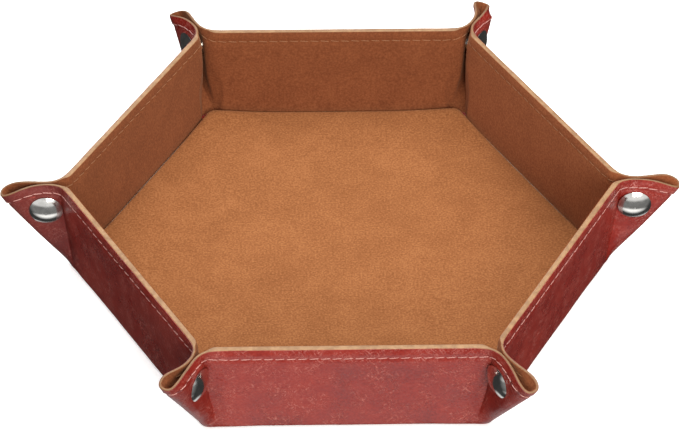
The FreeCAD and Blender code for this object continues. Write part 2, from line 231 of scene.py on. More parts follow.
@dataclass(frozen=True)
class Microsuede:
    """Napped polyester microfibre, brushed after weaving."""

    name: str = "napped_microsuede"
    shade: str = "#7f4c28"
    body: str = "#915a33"
    light: str = "#a36a40"
    bloom: float = 0.25
    halo: str = "#e8c49a"
    nap_mm: float = 17.0
    fibre_mm: float = 0.75
    roughness: float = 0.95

    def material(self) -> bpy.types.Material:
        """Warm tan without gloss, with brushed patches and a pale bloom at grazing angles.

        Returns:
            The finished material.
        """
        material, node = fresh_material(self.name)
        place = node("Attribute", attribute_name="rest_mm").outputs["Vector"]
        nap = node("TexNoise", {"Vector": place, "Scale": 1 / self.nap_mm, "Detail": 5.0, "Roughness": 0.7,
                                "Distortion": 0.6})
        # Fibres are hundredths of a millimetre thick; tufts of them are drawn instead.
        tuft = node("TexNoise", {"Vector": place, "Scale": 1 / self.fibre_mm, "Detail": 2.0})
        mixed = node("MapRange", (tuft, 0.25, 0.75, -0.5, 0.5))
        level = node("Math", (nap, mixed), operation="ADD")
        tint = node("ValToRGB", (level,), stops=((0.06, self.shade), (0.94, self.light), (0.5, self.body)))
        bump = node("Bump", {"Strength": 0.55, "Distance": 0.00015, "Height": tuft})
        shader = node("BsdfPrincipled", {
            "Base Color": tint, "Roughness": self.roughness, "Specular IOR Level": 0.2,
            "Sheen Weight": self.bloom, "Sheen Roughness": 0.45, "Sheen Tint": linear(self.halo),
            "Normal": bump})
        node("OutputMaterial", (shader,))
        return material


@dataclass(frozen=True)
class EdgePaint:
    """Cut edges sealed with brushed-on edge paint."""

    body: str = "#8b6745"
    light: str = "#a27c56"
    # Colour of the painted shade along the ears' edges.
    painted_shade: str = "#6b4a30"
    streak_mm: float = 2.2
    roughness: float = 0.55

    def material(self) -> bpy.types.Material:
        """Pale tan, a little uneven where the brush left more or less, with painted shade along the ears.

        Returns:
            The finished material.
        """
        material, node = fresh_material("edge_paint")
        place = node("Attribute", attribute_name="rest_mm").outputs["Vector"]
        streak = node("TexNoise", {"Vector": place, "Scale": 1 / self.streak_mm, "Detail": 3.0})
        tint = node("ValToRGB", (streak,), stops=((0.35, self.body), (0.65, self.light)))
        # Painted shade: the edge is drawn darker along the ears, by the crease values that the edge pieces
        # carry.
        shading = node("Attribute", attribute_name="crease").outputs["Fac"]
        colour = node("Mix", {"Factor": shading, 6: tint, 7: linear(self.painted_shade)}, data_type="RGBA")
        bump = node("Bump", {"Strength": 0.25, "Distance": 0.0001, "Height": streak})
        shader = node("BsdfPrincipled", {"Base Color": colour.outputs[2], "Roughness": self.roughness,
                                         "IOR": 1.48, "Normal": bump})
        node("OutputMaterial", (shader,))
        return material


@dataclass(frozen=True)
class PolyesterThread:
    """Twisted polyester sewing thread."""

    name: str
    body: str
    shade: str
    twist_mm: float = 0.18138
    roughness: float = 0.6

    def material(self) -> bpy.types.Material:
        """Dull gloss with the twist's fine ridges, and painted shade in the grooves between them.

        Returns:
            The finished material.
        """
        material, node = fresh_material(self.name)
        place = node("Attribute", attribute_name="rest_mm").outputs["Vector"]
        # At a scale of 1 this node draws a diagonal band each 2 pi / (10 sqrt 3) units.
        twist = node("TexWave", {"Vector": place, "Distortion": 1.5,
                                 "Scale": 2 * math.pi / (10 * math.sqrt(3) * self.twist_mm)},
                     bands_direction="DIAGONAL").outputs["Fac"]
        # Painted shade: the twist's grooves are drawn in the darker colour.
        tint = node("ValToRGB", (twist,), stops=((0.1, self.shade), (0.6, self.body)))
        bump = node("Bump", {"Strength": 0.4, "Distance": 0.0001, "Height": twist})
        shader = node("BsdfPrincipled", {"Base Color": tint, "Roughness": self.roughness, "IOR": 1.57,
                                         "Normal": bump})
        node("OutputMaterial", (shader,))
        return material


@dataclass(frozen=True)
class NickelPlate:
    """Pressed steel, tumbled and bright nickel plated."""

    body: str = "#e4e1db"
    dull: str = "#d6d3cd"
    haze_mm: float = 3.0
    roughness: float = 0.12

    def material(self) -> bpy.types.Material:
        """Near-mirror metal, a touch warm, with faint haze from handling.

        Returns:
            The finished material.
        """
        material, node = fresh_material("bright_nickel_plate")
        haze = node("TexNoise", {"Vector": node("TexCoord").outputs["Object"],
                                 "Scale": 1 / (self.haze_mm * MM), "Detail": 3.0})
        tint = node("ValToRGB", (haze,), stops=((0.4, self.dull), (0.6, self.body)))
        rough = node("MapRange", (haze, 0.3, 0.7, self.roughness - 0.03, self.roughness + 0.05))
        shader = node("BsdfPrincipled", {"Base Color": tint, "Metallic": 1.0, "Roughness": rough})
        node("OutputMaterial", (shader,))
        return material


@dataclass(frozen=True)
class GreyBoard:
    """Recycled grey chipboard, die cut."""

    body: str = "#8d867b"
    fleck: str = "#6d675e"
    fleck_mm: float = 1.5
    roughness: float = 0.9

    def material(self) -> bpy.types.Material:
        """Matt grey with the flecks of recycled pulp.

        Returns:
            The finished material.
        """
        material, node = fresh_material("grey_board")
        pulp = node("TexNoise", {"Vector": node("TexCoord").outputs["Object"],
                                 "Scale": 1 / (self.fleck_mm * MM), "Detail": 4.0})
        tint = node("ValToRGB", (pulp,), stops=((0.38, self.fleck), (0.55, self.body)))
        bump = node("Bump", {"Strength": 0.3, "Distance": 0.0001, "Height": pulp})
        shader = node("BsdfPrincipled", {"Base Color": tint, "Roughness": self.roughness, "Normal": bump})
        node("OutputMaterial", (shader,))
        return material


def made_of(finish: type, *looks: str | float) -> bpy.types.Material:
    """A palette's field that holds the material of a finish with the given looks."""
    return field(default_factory=lambda: finish(*looks).material())


@dataclass
class Palette:
    """Every finish of the tray, made once."""

    leather: bpy.types.Material = made_of(PuLeather)
    suede: bpy.types.Material = made_of(Microsuede)
    # Painted shade: a darker copy of the same suede for the walls, which get less light than the floor.
    suede_down: bpy.types.Material = made_of(
        Microsuede, "napped_microsuede_down", "#6d3b21", "#7b4528", "#885030", 0.12)
    # Painted shade on the right-hand walls: a copy less darkened than the one above, with a little more
    # bloom.
    suede_across: bpy.types.Material = made_of(
        Microsuede, "napped_microsuede_across", "#83482a", "#915332", "#9f5f3b", 0.14)
    edge: bpy.types.Material = made_of(EdgePaint)
    thread_out: bpy.types.Material = made_of(PolyesterThread, "polyester_thread_rose", "#dfada3", "#a8655c")
    thread_in: bpy.types.Material = made_of(PolyesterThread, "polyester_thread_tan", "#a8744a", "#6d4224")
    nickel: bpy.types.Material = made_of(NickelPlate)
    board: bpy.types.Material = made_of(GreyBoard)

    def lining(self, wall: str) -> bpy.types.Material:
        """The lining on a wall: a darker copy of the suede as painted shade, less dark on the right-hand
        walls.
        """
        return self.suede_across if wall.startswith("right") else self.suede_down


def smooth(value: np.ndarray | float, low: float, high: float) -> np.ndarray:
    """A smooth step from 0 at low to 1 at high."""
    t = np.clip((np.asarray(value, float) - low) / (high - low), 0.0, 1.0)
    return t * t * (3 - 2 * t)


def spoke(degrees: float) -> np.ndarray:
    """The level unit direction at an angle."""
    return np.array([math.cos(math.radians(degrees)), math.sin(math.radians(degrees)), 0.0])


def unit(ways: np.ndarray) -> np.ndarray:
    """Directions along the last axis, each made one long."""
    return ways / np.linalg.norm(ways, axis=-1, keepdims=True)


def in_metres(point: np.ndarray) -> tuple:
    """A point in millimetres as the frame's calls take it."""
    return tuple(point * MM)


def ripple(points: np.ndarray, size: float, seed: float) -> np.ndarray:
    """Soft noise between -1 and 1 at points in millimetres, with lumps about size across.

    Args:
        points: array whose last axis is x, y, z.
        size: size of a lump in millimetres.
        seed: shifts the noise.

    Returns:
        One value for each point.
    """
    values = [noise.noise(Vector(p)) for p in points.reshape(-1, 3) / size + seed]
    return np.array(values).reshape(points.shape[:-1])


def new_piece(name: str, points: np.ndarray, faces: list, material: bpy.types.Material,
              slot: Slot | None = None, **marks: np.ndarray) -> bpy.types.Object:
    """A smooth-shaded mesh object with its points' rest places kept for the patterns.

    Args:
        name: the piece's name.
        points: places in millimetres.
        faces: lists of point numbers.
        material: its finish.
        slot: the record's slot that the finish stands for; not used.
        marks: values from 0 to 1 for each point that the finish reads by name, such as crease.

    Returns:
        The new object.
    """
    points = np.asarray(points, float).reshape(-1, 3)
    mesh = bpy.data.meshes.new(name)
    mesh.from_pydata((points * MM).tolist(), [], faces)
    tidy = bmesh.new()
    tidy.from_mesh(mesh)
    bmesh.ops.recalc_face_normals(tidy, faces=tidy.faces)
    tidy.to_mesh(mesh)
    tidy.free()
    mesh.polygons.foreach_set("use_smooth", [True] * len(mesh.polygons))
    mesh.set_sharp_from_angle(angle=math.radians(50))
    rest = mesh.attributes.new("rest_mm", "FLOAT_VECTOR", "POINT")
    rest.data.foreach_set("vector", points.astype(np.float32).ravel())
    for mark, values in marks.items():
        held = mesh.attributes.new(mark, "FLOAT", "POINT")
        held.data.foreach_set("value", np.asarray(values, np.float32).ravel())
    mesh.materials.append(material)
    made = bpy.data.objects.new(name, mesh)
    bpy.context.scene.collection.objects.link(made)
    LOG.info("%s: %d points", name, len(points))
    return made


def slab(name: str, front: np.ndarray, back: np.ndarray, material: bpy.types.Material, slot: Slot,
         **marks: np.ndarray) -> bpy.types.Object:
    """A closed sheet between two grids of points.

    Args:
        name: the piece's name.
        front: rows by columns of places in millimetres.
        back: the same for the other face.
        material: its finish.
        slot: the record's slot.
        marks: values for each point of the front that the finish reads by name.

    Returns:
        The new object.
    """
    number = np.arange(front.shape[0] * front.shape[1]).reshape(front.shape[:2])
    size = number.size
    quads = np.stack([number[:-1, :-1], number[:-1, 1:], number[1:, 1:], number[1:, :-1]], axis=-1)
    quads = [tuple(quad) for quad in quads.reshape(-1, 4).tolist()]
    rear = [tuple(size + p for p in reversed(quad)) for quad in quads]
    rim = np.concatenate([number[0], number[1:, -1], number[-1, -2::-1], number[-2:0:-1, 0]]).tolist()
    edge = [(rim[i], rim[i - 1], size + rim[i - 1], size + rim[i]) for i in range(len(rim))]
    both = {mark: np.tile(values.ravel(), 2) for mark, values in marks.items()}
    points = np.concatenate([front.reshape(-1, 3), back.reshape(-1, 3)])
    return new_piece(name, points, quads + rear + edge, material, slot, **both)


def tube_faces(rings: int, turn: int, start: int = 0) -> list:
    """Faces of a closed tube whose rings' points follow each other.

    Args:
        rings: how many rings it has.
        turn: points of each ring.
        start: number of its first point.

    Returns:
        Quads between the rings, and then the two ends.
    """
    number = [[start + r * turn + c for c in range(turn)] for r in range(rings)]
    sides = [(low[c], low[(c + 1) % turn], high[(c + 1) % turn], high[c])
             for low, high in zip(number, number[1:]) for c in range(turn)]
    return sides + [tuple(number[0]), tuple(number[-1])]


def bead(name: str, outer: np.ndarray, inner: np.ndarray, up: np.ndarray, height: float,
         material: bpy.types.Material, painted_shade: np.ndarray) -> bpy.types.Object:
    """A rounded strip that caps a sheet's cut edge.

    Args:
        name: the piece's name.
        outer: points along the edge on the outer face.
        inner: points along the edge on the inner face.
        up: unit directions out of the edge.
        height: how far the strip stands above the points; it goes as far below them.
        material: its finish.
        painted_shade: how much painted shade darkens the edge at each point along it, from 0 to 1.

    Returns:
        The new object.
    """
    middle, half = (outer + inner) / 2, (outer - inner) / 2
    turn, ring = 12, []
    for step in range(turn):
        across, over = math.cos(2 * math.pi * step / turn), math.sin(2 * math.pi * step / turn)
        # Powers below one make the round boxier, so that it reaches both faces.
        across = math.copysign(abs(across) ** 0.5, across)
        over = math.copysign(abs(over) ** 0.7, over)
        ring.append(middle + half * across + up * (over * height))
    points = np.stack(ring, axis=1)
    # The edge's painted shade goes into its crease attribute.
    return new_piece(name, points, tube_faces(len(points), turn), material, crease=np.repeat(painted_shade, turn))


def along_path(path: np.ndarray, wanted: np.ndarray) -> np.ndarray:
    """Points at wanted distances along a polyline.

    Args:
        path: points of the polyline.
        wanted: distances from its start.

    Returns:
        One point for each distance.
    """
    steps = np.linalg.norm(np.diff(path, axis=0), axis=1)
    run = np.concatenate([[0.0], np.cumsum(steps)])
    return np.stack([np.interp(wanted, run, path[:, axis]) for axis in range(3)], axis=-1)


@dataclass(frozen=True)
class Stitching:
    """One row of lockstitch seen from one face."""

    pitch: float = 4.0
    length: float = 3.7
    radius: float = 0.17
    slant: float = 0.35
    rings: int = 7
    turn: int = 6

    def sew(self, name: str, path: np.ndarray, out: np.ndarray,
            material: bpy.types.Material) -> bpy.types.Object:
        """Stitches along a path, each a capsule that dips into its holes.

        Args:
            name: the piece's name.
            path: points on the face along the row.
            out: directions off the face at those points.
            material: the thread.

        Returns:
            The new object.
        """
        total = np.linalg.norm(np.diff(path, axis=0), axis=1).sum()
        count = max(1, round(total / self.pitch))
        points, faces = [], []
        share = np.linspace(0.0, 1.0, self.rings)
        arch = np.sqrt(np.clip(1 - (2 * share - 1) ** 4, 0.02, 1.0))[:, None]
        for stitch in range(count):
            centre = along_path(path, (stitch + 0.5) * total / count + (share - 0.5) * self.length)
            lift = out[np.linalg.norm(centre[:, None] - path[None], axis=2).argmin(axis=1)]
            side = np.cross(unit(np.gradient(centre, axis=0)), lift)
            centre = centre + side * ((share[:, None] - 0.5) * self.slant * np.sign(side[:1, 2:3]))
            ring = [centre + lift * (self.radius * (0.9 * arch - 0.5))
                    + (side * math.cos(a) + lift * math.sin(a)) * (self.radius * arch ** 0.6)
                    for a in np.linspace(0, 2 * math.pi, self.turn, endpoint=False)]
            points.append(np.stack(ring, axis=1).reshape(-1, 3))
            faces += tube_faces(self.rings, self.turn, stitch * self.rings * self.turn)
        return new_piece(name, np.concatenate(points), faces, material)


@dataclass(frozen=True)
class Sheet:
    """Sizes that the whole folded sheet shares, in millimetres."""

    apothem: float = 90.0
    lean: float = math.radians(3.3)
    leather: float = 0.8
    lining: float = 0.6
    thick: float = 2.9
    rim: float = 40.5
    foot: float = 1.8
    foot_strip: float = 2.2
    seam: float = 7.7
    ear_mid: float = 2.2
    rim_lean: float = 0.2
    rim_roll: tuple[float, float] = (0.34, 0.55)
    foot_bow: float = 0.3
    stitch_drop: float = 4.2
    # The stitching pulls the leather in, the lining by a share of that, and a swell stands above it.
    groove_depth: float = 0.26
    groove_swell: float = 0.10
    lining_pull: float = 0.8
    edge_height: float = 0.22
    edge_inset: float = 0.15
    high_rows: tuple[float, ...] = (0.83, 0.86, 0.88, 0.92, 0.94, 0.96, 0.98, 1.0)

    @property
    def half_ply(self) -> float:
        """Half the thickness of the sheet where it has no board."""
        return (self.leather + self.lining) / 2

    def middle(self, up: np.ndarray | float) -> np.ndarray | float:
        """Distance from the tray's axis to the boardless sheet's middle at a height."""
        return self.apothem + up * math.tan(self.lean) - self.half_ply / math.cos(self.lean)

    def crease(self, up: np.ndarray) -> np.ndarray:
        """Place along the diagonal where a wall's middle plane meets the ear's."""
        return (self.middle(up) - 0.5 * self.ear_mid) / COS_30

    def wall_end(self, up: np.ndarray) -> np.ndarray:
        """Half the length of a wall between the seams with its ears, at a height."""
        return 0.5 * self.crease(up) - COS_30 * self.ear_mid - self.seam

    def lining_depth(self, left: np.ndarray) -> np.ndarray:
        """How far inside the middle surface the lining lies, over the board and where it leaves it.

        Args:
            left: distances along the wall to the ear's crease, one row or as many as the panel has.

        Returns:
            Depths with a last axis of one; at the rim the lining leans in and steps off the board,
            below it eases off.
        """
        drop = self.drops()[:, None]
        board = self.thick - 2 * self.half_ply - self.rim_lean * (1 - smooth(drop, 0.0, 3.0))
        low = smooth(drop, 0.5, 5.0)
        laid = low * smooth(left, 0.3, 4.5) + (1 - low) * smooth(left, 1.3, 4.0)
        return (self.half_ply + board * laid)[..., None]

    def crackle(self, left: np.ndarray) -> np.ndarray:
        """How creased the leather is at distances from the ear's crease."""
        return np.exp(-((left - 4.0) / 3.4) ** 2)

    def roll_in(self, left: np.ndarray) -> np.ndarray:
        """How far the leather's face rolls in above the stitching, row by row.

        Args:
            left: distances along the wall to the ear's crease, one row or as many as the panel has.

        Returns:
            Offsets with a last axis of one.
        """
        ear, wall = self.rim_roll
        most = ear + (wall - ear) * smooth(left, 2.0, 7.0)
        return (most * np.clip(1 - self.drops()[:, None] / self.stitch_drop, 0.0, 1.0))[..., None]

    def drops(self) -> np.ndarray:
        """Distances of the rows down from the rim."""
        return (1 - self.levels()) * (self.rim - self.foot)

    def levels(self) -> np.ndarray:
        """Shares of the height for the rows of every panel, closer together at the rim."""
        stitch = 1 - self.stitch_drop / (self.rim - self.foot)
        return np.sort(np.concatenate([np.linspace(0.0, 0.80, 20), self.high_rows, [stitch]]))

    def heights(self) -> np.ndarray:
        """Heights of the rows on a wall."""
        return self.foot + self.levels() * (self.rim - self.foot)

    def stitch_row(self) -> int:
        """Number of the row that the stitching follows."""
        return int(np.argmin(np.abs(self.drops() - self.stitch_drop)))

    def seam_groove(self) -> np.ndarray:
        """How far the stitching pulls each row in, with the swell between it and the rim.

        Returns:
            Offsets with two last axes of one.
        """
        drop = self.drops()[:, None, None]
        pulled = np.exp(-((drop - self.stitch_drop) / 0.75) ** 2)
        swell = np.exp(-((drop - self.stitch_drop / 2) / 1.3) ** 2)
        return self.groove_swell * swell - self.groove_depth * pulled

    def with_foot(self, outer: np.ndarray, normal: np.ndarray, depth: float) -> np.ndarray:
        """Rows that carry a leather face round the bottom edge and under the base.

        Args:
            outer: the lowest row of the outer face.
            normal: level directions off the face along that row.
            depth: how far inside the outer face the wanted face lies.

        Returns:
            The strip's row and the rows of the round, from the bottom up.
        """
        base = outer * LEVEL
        rows = [base - normal * (self.foot + self.foot_strip) + UP * depth]
        for angle in np.radians([90, 75, 60, 45, 30, 15]):
            out, down = (self.foot - depth) * math.cos(angle), (self.foot - depth) * math.sin(angle)
            rows.append(base - normal * (self.foot - out) + UP * (self.foot - down))
        return np.stack(rows)


@dataclass
class Ear:
    """Half of a pinched corner: a flap from its wall's seam to the outer fold."""

    index: int
    side: Side
    rim_bend: float
    tip_lean: float
    tip_lift: float
    # How much painted shade darkens this ear's leather, and how much its gloss is dulled.
    handled: float
    sheet: Sheet = field(default_factory=Sheet)
    # The fold's axis and the top edge's outline, as the part's flat pattern gives them.
    tilt: float = math.radians(31.906)
    reach: float = 98.955
    rise: float = -3.584
    roll: float = 3.456
    arc_centre: float = 21.04
    arc_radius: float = 28.0
    line_end: float = 10.54
    crease_top: tuple[float, float] = (18.33, 40.79)
    corner_round: float = 9.0
    corner_reach: float = 1.2
    corner_turn: float = math.radians(27)
    tip: float = 3.4
    first_inset: float = 17.3
    inset_step: float = 2.41
    # Places along the spline: their spacing on the wall, the fold's, and where flap and fold are parted.
    spot_step: float = 2.5
    fold_spot: float = 12.5
    split: float = 9.4
    columns: int = 46
    backing: float = 0.15
    # Size and height of the soft lumps in the leather.
    lumps: tuple[float, float] = (9.0, 0.12)
    # Where the wall's sheet starts to turn into the ear: at the foot, and how that shifts higher up.
    foot_bend: float = 3.3
    low_bend: float = 1.2
    mid_bend: float = -5.0
    # Half gaps between the flaps at the nine controls from the crease to the fold, below and at the rim.
    flat_w: tuple[float, ...] = (1.2, 1.95, 2.2, 2.2, 2.2, 2.2, 2.25, 2.3, 1.75)
    rim_w: tuple[float, ...] = (1.75, 0.85, 0.85, 1.15, 1.65, 2.3, 2.95, 3.2, 2.5)
    # Distances from the diagonal given for the fold's leather, lining and edge.
    faces: tuple[float, float, float] = (2.9, 1.5, 2.2)
    flattened: float = 0.12
    bend_pivot: tuple[float, float, float] = (103.6, 2.9, 20.0)
    bend_way: tuple[float, float, float] = (0.862, -0.5, -0.057)
    bend_half: float = 5.0
    foot_gap: float = 0.12
    lining_sunk: float = 0.9
    # How much painted shade darkens the ear's edge.
    edge_painted_shade: float = 0.6
    collar_insets: tuple[float, float] = (3.4, 0.25)
    collar_heights: tuple[float, float] = (1.5, 1.3)
    # The spare sheet's rows and last place along the spline, and its two skins' faces off the middle.
    spare_rows: tuple[float, float] = (0.22, 0.965)
    spare_end: float = 11.0
    spare_leather: tuple[float, float] = (0.45, -0.05)
    spare_lining: tuple[float, float] = (-0.62, -0.15)
    spare_kept: float = 0.4
    spare_anchor: tuple[float, float] = (7.5, 40.0)

    @property
    def corner(self) -> str:
        """Name of the corner."""
        return CORNERS[self.index]

    @property
    def wall(self) -> str:
        """Name of the wall that the flap hangs on."""
        return WALLS[(self.index + (self.side is Side.STUD)) % 6]

    @property
    def word(self) -> str:
        """The flap's name as the part's nodes spell it."""
        return f"{self.side.word}_{self.corner}"

    def place(self, points: np.ndarray | tuple) -> np.ndarray:
        """Points of the part's frame from the corner's coordinates (s, w, z)."""
        out = spoke(-60 + 60 * self.index)
        return np.asarray(points) @ np.stack([out, np.cross(UP, out) * self.side.value, UP])

    def top_edge(self, inset: np.ndarray) -> np.ndarray:
        """Points (s, z) of the ear's top edge.

        Args:
            inset: distances from the fold's axis.

        Returns:
            An array with s and z as its last axis.
        """
        line = self.crease_top[1] + (self.crease_top[0] - inset) * math.tan(math.radians(30))
        arc = self.arc_centre + np.sqrt(self.arc_radius ** 2 - (inset + self.roll) ** 2)
        along = np.where(inset > self.line_end, line, arc)
        s = self.reach - inset * math.cos(self.tilt) + along * math.sin(self.tilt)
        z = self.rise + inset * math.sin(self.tilt) + along * math.cos(self.tilt) - self.sheet.edge_height
        return np.stack([s, z], axis=-1)

    def controls(self) -> np.ndarray:
        """Control points of the flap's middle surface, row by row.

        Returns:
            Rows by 15 points (s, w, z); the last two mirror the two before them across the diagonal.
        """
        sheet, share = self.sheet, self.sheet.levels()[:, None]
        up = sheet.heights()[:, None]
        closing, pinch = smooth(share, 0.0, 0.5), smooth(share, 0.84, 1.0)
        bend = (self.foot_bend + self.low_bend * smooth(share, 0.0, 0.25)
                + self.mid_bend * smooth(share, 0.3, 0.62) + self.rim_bend * pinch)
        seam = sheet.seam + self.spot_step * np.array([1.0, 0.0, -1.0])
        run = np.concatenate([np.broadcast_to(seam, (len(share), 3)), bend], axis=1)
        wall = np.stack([sheet.crease(up) - 0.5 * run, sheet.ear_mid + COS_30 * run,
                         np.broadcast_to(up, run.shape)], axis=-1)
        order = np.arange(9)
        top = self.top_edge(np.append(self.first_inset - self.inset_step * order[:8], -self.tip))
        top[:, 1] += self.tip_lift * smooth(order, 2.0, 8.0)
        angle = self.corner_turn * (8.4 - order) / 8.4
        hub = (sheet.middle(sheet.foot) - self.corner_round) / COS_30
        low_s = hub + self.corner_round * np.cos(angle) + self.corner_reach * order / 8
        low_w = self.corner_round * np.sin(angle)
        flat_w, rim_w = np.array(self.flat_w), np.array(self.rim_w)
        ear = np.stack([low_s + (top[:, 0] - low_s) * share,
                        low_w + (flat_w - low_w) * closing + (rim_w - flat_w) * pinch,
                        sheet.foot + (top[:, 1] - sheet.foot) * share], axis=-1)
        half = np.concatenate([wall, ear], axis=1)
        return np.concatenate([half, half[:, -1:-3:-1] * np.array([1, -1, 1])], axis=1)

    def middle_grid(self, spots: np.ndarray) -> np.ndarray:
        """Points of the cubic B-spline that follows the controls.

        Args:
            spots: places along the spline, from 1 at the seam to the fold's.

        Returns:
            Rows by spots of points (s, w, z).
        """
        controls = self.controls()
        start = np.clip(spots.astype(int), 1, controls.shape[1] - 3)
        t = (spots - start)[:, None]
        weights = ((1 - t) ** 3, 3 * t ** 3 - 6 * t ** 2 + 4, -3 * t ** 3 + 3 * t ** 2 + 3 * t + 1, t ** 3)
        return sum(w * controls[:, start - 1 + k] for k, w in enumerate(weights)) / 6

    def grids(self) -> tuple[np.ndarray, np.ndarray, np.ndarray]:
        """The flap's middle surface.

        Returns:
            Places along the spline, points and unit normals in the part's frame.
        """
        # Two columns past the fold give the slopes at it and are then left off.
        spots = 1 + (self.fold_spot - 1) / (self.columns - 1) * np.arange(self.columns + 2)
        middle = self.middle_grid(np.minimum(spots, 12.999))
        share = self.sheet.levels()[:, None]
        start = 10.5 - 4.0 * smooth(share, 0.9, 1.0)
        near = smooth((spots[None] - start) / (self.fold_spot - start), 0.0, 1.0)
        middle[..., 1] += self.side.value * self.tip_lean * (near * smooth(share, 0.4, 1.0))
        normal = unit(np.cross(np.gradient(middle, axis=1), np.gradient(middle, axis=0)))
        normal *= np.sign(normal[0, 0, 0])
        shown = slice(0, self.columns)
        return spots[shown], self.place(middle[:, shown]), self.place(normal[:, shown])

    def settle(self, piece: bpy.types.Object, face: float | None) -> None:
        """Bake a piece's place into its mesh, or hang a piece of the fold on the ear's body with a mesh of
        its own.

        Args:
            piece: the piece.
            face: None, else a distance from the diagonal for a piece of the fold; only whether it is None
                makes a difference.
        """
        body = f"ear_{self.word}"
        if face is None:
            pivot, way = np.array(self.bend_pivot), np.array(self.bend_way) * self.bend_half
            in_metres(self.place(pivot - way))
            in_metres(self.place(pivot + way))
            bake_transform(piece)
            return
        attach(piece, body)
        tuple(self.place((0.0, 1.0, 0.0)))
        in_metres(self.place((110.0, face, 20.0)))
        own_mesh(piece)

    def build(self, palette: Palette) -> None:
        """Make the flap's leather, lining, edge and stitching.

        Args:
            palette: the tray's finishes.
        """
        sheet, word = self.sheet, self.word
        spots, middle, normal = self.grids()
        groove = sheet.seam_groove()
        calm = smooth(spots, 1.0, 2.0) * (1 - smooth(spots, 11.5, 12.4))
        size, height = self.lumps
        soft = (ripple(middle, size, 3.1 + self.index) * height * calm)[..., None]
        left = sheet.seam - self.spot_step * (spots - 1)
        outer = middle + normal * (sheet.half_ply + groove + soft - sheet.roll_in(left[None]))
        front, under = self.build_foot(palette, outer, unit(normal[0] * LEVEL))
        under = np.concatenate([under, middle - normal * self.backing])
        creased = sheet.crackle(left) + np.exp(-(spots - self.fold_spot) ** 2)
        creased = np.broadcast_to(creased, front.shape[:2])
        # Painted shade over the flap, fading in from the wall's seam.
        handled = np.broadcast_to(self.handled * smooth(spots, 1.0, 4.0), front.shape[:2])
        # The lining's lowest row is sunk behind the floor's edge.
        lining_mid = np.concatenate([middle[:1] - UP * self.lining_sunk, middle])
        lining_normal, depth, pulled = (np.concatenate([rows[:1], rows]) for rows in (
            normal, sheet.lining_depth(left[None]), sheet.lining_pull * groove))
        lining_front = lining_mid - lining_normal * (depth + pulled)
        lining_back = lining_mid - lining_normal * (depth - sheet.lining)
        rim_out = outer[-1] - normal[-1] * sheet.edge_inset
        rim_in = middle[-1] - normal[-1] * (depth[-1] - sheet.edge_inset)
        # Painted shade along the ear's edge, fading in from the wall's seam.
        rim_up, painted_shade = unit(middle[-1] - middle[-2]), self.edge_painted_shade * smooth(spots, 1.0, 6.0)
        cut = int(np.searchsorted(spots, self.split))
        flap, fold = slice(0, cut + 1), slice(cut, None)
        for end, part, faces in (("flap", flap, (None,) * 3), ("fold", fold, self.faces)):
            leather = slab(f"ear_leather_{end}_{word}", front[:, part], under[:, part], palette.leather,
                           Slot.LEATHER, crease=creased[:, part], handled=handled[:, part])
            lining = slab(f"ear_lining_{end}_{word}", lining_front[:, part], lining_back[:, part],
                          palette.lining(self.wall), Slot.LINING)
            edge = bead(f"ear_edge_{end}_{word}", rim_out[part], rim_in[part], rim_up[part],
                        sheet.edge_height, palette.edge, painted_shade[part])
            for piece, face in zip((leather, lining, edge), faces):
                self.settle(piece, face)
            if part is flap:
                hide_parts(f"ear_flap_{word}")
        row, raised = sheet.stitch_row(), smooth(spots, 1.0, 6.0)[:, None]
        outside, inside = (face[row] + (face[row + 1] - face[row]) * raised
                           for face in (outer, lining_front[1:]))
        for end, path, out, part, thread, face in (
                ("out", outside, normal[row], flap, palette.thread_out, None),
                ("fold", outside, normal[row], fold, palette.thread_out, self.faces[0]),
                ("in", inside, -normal[row], flap, palette.thread_in, None)):
            self.settle(Stitching().sew(f"ear_stitch_{end}_{word}", path[part], out[part], thread), face)
        self.build_spare(palette, spots, middle, normal)

    def build_foot(self, palette: Palette, outer: np.ndarray,
                   level: np.ndarray) -> tuple[np.ndarray, np.ndarray]:
        """Make the leather under the corner and the lining's collar over it.

        Args:
            palette: the tray's finishes.
            outer: the flap's outer face.
            level: level unit directions off its lowest row.

        Returns:
            The outer face with its foot's rows, and the foot's rows of the inner face.
        """
        under = self.sheet.with_foot(outer[0], level, self.sheet.leather)
        foot = slab(f"corner_foot_{self.word}", self.sheet.with_foot(outer[0], level, 0.0), under,
                    palette.leather, Slot.LEATHER)
        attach(foot, "base")
        ground = outer[0] * LEVEL
        top, bottom = (np.stack([ground - level * inset + UP * up for inset in self.collar_insets])
                       for up in self.collar_heights)
        # The collar has the suede's darker copy with painted shade.
        collar = slab(f"corner_lining_{self.word}", top, bottom, palette.suede_down, Slot.LINING)
        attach(collar, "base")
        # The flap starts a little inside that foot, so that no gap opens when the walls lie down.
        start = self.sheet.with_foot(outer[0], level, self.foot_gap)[2:]
        return np.concatenate([start, outer]), under[2:]

    def build_spare(self, palette: Palette, spots: np.ndarray, middle: np.ndarray,
                    normal: np.ndarray) -> None:
        """Make the sheet rolled up in the fold, which hides in the flap, and hang it on the ear's body.

        Args:
            palette: the tray's finishes.
            spots: places along the spline.
            middle: the flap's middle surface.
            normal: its unit normals.
        """
        share = self.sheet.levels()
        lowest, highest = self.spare_rows
        rows = np.flatnonzero((share > lowest) & (share < highest))
